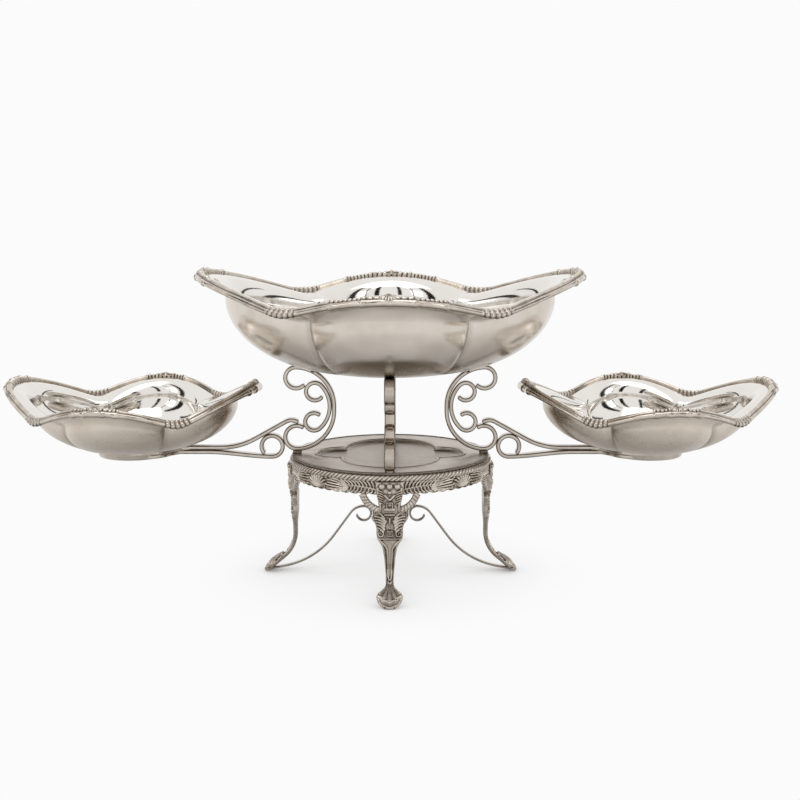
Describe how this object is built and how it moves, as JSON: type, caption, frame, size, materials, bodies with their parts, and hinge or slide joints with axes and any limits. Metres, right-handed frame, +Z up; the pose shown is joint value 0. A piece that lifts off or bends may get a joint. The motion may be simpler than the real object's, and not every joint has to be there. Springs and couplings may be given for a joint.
{
  "type": "epergne",
  "caption": "Silver-plated table epergne: lobed centre bowl on scroll brackets over a footed round base, with scroll arms holding lift-off side dishes.",
  "frame": {"origin": "on the table, under the centre of the base", "axes": "+X along the two arms to the right, +Y to the back, +Z up"},
  "size_m": [0.6046, 0.2876, 0.2398],
  "materials": {
    "polished_silver": "polished silver plate with fine wear",
    "cast_silver": "cast silver plate, tarnish dark in the recesses",
    "strip_silver": "drawn silver-plated strip, softly polished",
    "fixings": "dull tarnished plate"
  },
  "bodies": {
    "stand": {"bracket_outer_front": "strip_silver", "bracket_outer_back": "strip_silver", "bracket_outer_left": "strip_silver", "bracket_outer_right": "strip_silver", "bracket_inner_front": "strip_silver", "bracket_inner_back": "strip_silver", "bracket_inner_left": "strip_silver", "bracket_inner_right": "strip_silver", "arm_upper_left": "strip_silver", "arm_upper_right": "strip_silver", "arm_lower_left": "strip_silver", "arm_lower_right": "strip_silver", "hoop_left": "strip_silver", "hoop_right": "strip_silver", "base_plate": "polished_silver", "base_band": "cast_silver", "rope_border": "cast_silver", "leg_front": "cast_silver", "leg_back": "cast_silver", "leg_left": "cast_silver", "leg_right": "cast_silver", "stretcher_front": "strip_silver", "stretcher_back": "strip_silver", "stretcher_left": "strip_silver", "stretcher_right": "strip_silver", "stretcher_hub": "strip_silver", "bracket_pads": "fixings", "bracket_screws": "fixings", "leg_rivets": "fixings"},
    "bowl": {"centre_bowl": "polished_silver", "bowl_border": "cast_silver"},
    "left_dish": {"dish_left": "polished_silver", "dish_border_left": "cast_silver"},
    "right_dish": {"dish_right": "polished_silver", "dish_border_right": "cast_silver"}
  },
  "joints": [
    {"name": "bowl_lift", "type": "slide", "parent": "stand", "child": "bowl", "axis": [0, 0, 1], "range_m": [0, 0.12]},
    {"name": "left_dish_lift", "type": "slide", "parent": "stand", "child": "left_dish", "axis": [-0.6, 0, 0.8], "range_m": [0, 0.12]},
    {"name": "right_dish_lift", "type": "slide", "parent": "stand", "child": "right_dish", "axis": [0.6, 0, 0.8], "range_m": [0, 0.12]}
  ]
}
